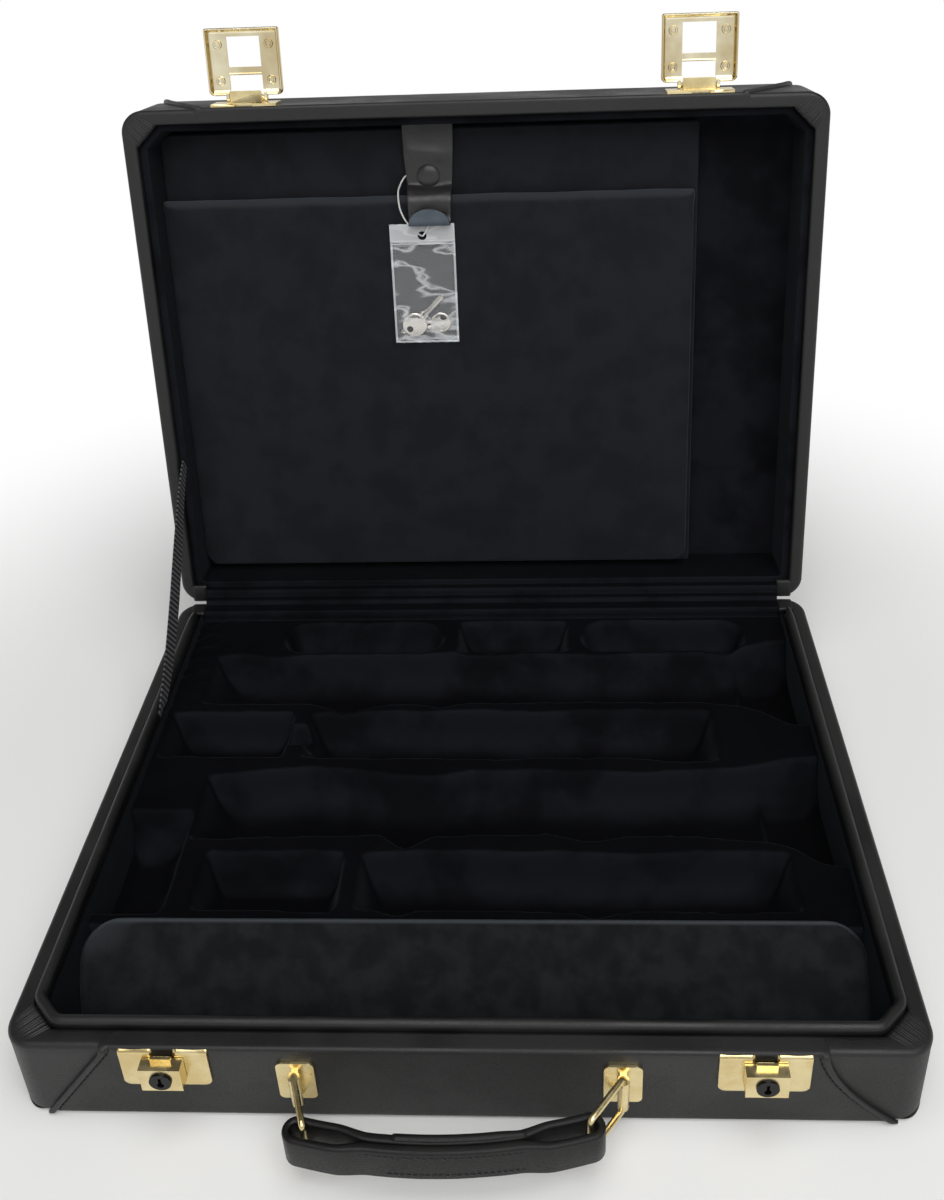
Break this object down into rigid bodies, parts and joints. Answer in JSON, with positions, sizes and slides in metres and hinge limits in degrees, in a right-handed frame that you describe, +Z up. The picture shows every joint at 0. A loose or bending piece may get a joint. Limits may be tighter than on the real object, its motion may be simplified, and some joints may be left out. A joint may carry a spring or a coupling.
{
  "type": "double clarinet case",
  "caption": "Hard leather-covered case with a hinged lid, snap locks, a folding handle and a velvet insert shaped for two clarinets.",
  "frame": {"origin": "middle of the base's underside", "axes": "+X to the right, +Y to the hinge, +Z up"},
  "size_m": [0.395, 0.4334, 0.3929],
  "materials": {
    "wood": "plain plywood",
    "leather": "fine grain, satin",
    "velvet": "velvet",
    "webbing": "twill webbing",
    "brass": "polished gold plate",
    "nickel": "nickel plate",
    "black_plastic": "gloss",
    "clear_plastic": "clear film",
    "elastic": "white elastic"
  },
  "bodies": {
    "base": {"base_carcass": "wood", "base_leather": "leather", "base_bottom_leather": "leather", "base_front_panel": "leather", "base_bead": "leather", "base_lining": "velvet", "insert_pad": "velvet", "insert_back_strip": "velvet", "insert_rib_1": "velvet", "insert_rib_2": "velvet", "insert_rib_3": "velvet", "insert_ledge": "velvet", "insert_blocks": "velvet", "front_board": "velvet", "hinge_leaf_base": "brass", "hinge_pin": "nickel", "hinge_cover_base": "velvet", "stay_ribbon": "webbing", "lock_plate_left": "brass", "lock_plate_right": "brass", "handle_plate_left": "brass", "handle_plate_right": "brass"},
    "lock_box_left": {"lock_box_left": "brass"},
    "lock_box_right": {"lock_box_right": "brass"},
    "lock_cylinder_left": {"lock_cylinder_left": "black_plastic"},
    "lock_cylinder_right": {"lock_cylinder_right": "black_plastic"},
    "handle": {"handle_band": "leather", "handle_sleeve": "leather"},
    "handle_ring_left": {"handle_ring_left": "brass"},
    "handle_ring_right": {"handle_ring_right": "brass"},
    "lid": {"lid_carcass": "wood", "lid_leather": "leather", "lid_front_panel": "leather", "lid_frame": "velvet", "lid_lining": "velvet", "pocket_back_board": "velvet", "pocket_panel": "velvet", "pocket_gusset": "velvet", "stud_socket": "nickel", "hinge_leaf_lid": "brass", "hinge_cover_lid": "velvet", "hasp_plate_left": "brass", "hasp_plate_right": "brass", "hasp_pin_left": "brass", "hasp_pin_right": "brass"},
    "hasp_left": {"hasp_left": "brass"},
    "hasp_right": {"hasp_right": "brass"},
    "strap": {"strap": "leather", "stud_cap": "leather", "key_loop": "elastic", "key_bag": "clear_plastic", "keys": "nickel"}
  },
  "joints": [
    {"name": "lid_hinge", "type": "hinge", "parent": "base", "child": "lid", "pos_m": [0, 0.155, 0.0455], "axis": [1, 0, 0], "range_deg": [0, 98], "deforming": ["stay_ribbon"]},
    {"name": "handle_fold", "type": "slide", "parent": "base", "child": "handle", "axis": [0, 1, 0], "range_m": [0, 0.012]},
    {"name": "handle_ring_left_turn", "type": "hinge", "parent": "base", "child": "handle_ring_left", "pos_m": [-0.0708, -0.1599, 0.025], "axis": [0, 0, 1], "range_deg": [0, 38.1]},
    {"name": "handle_ring_right_turn", "type": "hinge", "parent": "base", "child": "handle_ring_right", "pos_m": [0.0678, -0.1599, 0.025], "axis": [0, 0, 1], "range_deg": [-31.4, 0]},
    {"name": "strap_lift", "type": "hinge", "parent": "lid", "child": "strap", "pos_m": [0, 0.22278, 0.33448], "axis": [1, 0, 0], "range_deg": [-60, 0]},
    {"name": "hasp_left_swing", "type": "hinge", "parent": "lid", "child": "hasp_left", "pos_m": [-0.1265, 0.21231, 0.35484], "axis": [1, 0, 0], "range_deg": [0, 90]},
    {"name": "lock_left_slide", "type": "slide", "parent": "base", "child": "lock_box_left", "axis": [0, 0, -1], "range_m": [0, 0.0022], "stiffness_N_per_m": 600, "springref_m": -0.0015},
    {"name": "lock_left_key", "type": "hinge", "parent": "lock_box_left", "child": "lock_cylinder_left", "pos_m": [-0.1265, -0.16, 0.035], "axis": [0, 1, 0], "range_deg": [0, 90]},
    {"name": "hasp_right_swing", "type": "hinge", "parent": "lid", "child": "hasp_right", "pos_m": [0.1265, 0.21231, 0.35484], "axis": [1, 0, 0], "range_deg": [0, 90]},
    {"name": "lock_right_slide", "type": "slide", "parent": "base", "child": "lock_box_right", "axis": [0, 0, -1], "range_m": [0, 0.0022], "stiffness_N_per_m": 600, "springref_m": -0.0015},
    {"name": "lock_right_key", "type": "hinge", "parent": "lock_box_right", "child": "lock_cylinder_right", "pos_m": [0.1265, -0.16, 0.035], "axis": [0, 1, 0], "range_deg": [0, 90]}
  ],
  "couplings": [
    {"joint": "handle_ring_left_turn", "follows": "handle_fold", "rad_per_m": 55.3},
    {"joint": "handle_ring_right_turn", "follows": "handle_fold", "rad_per_m": -45.5}
  ]
}
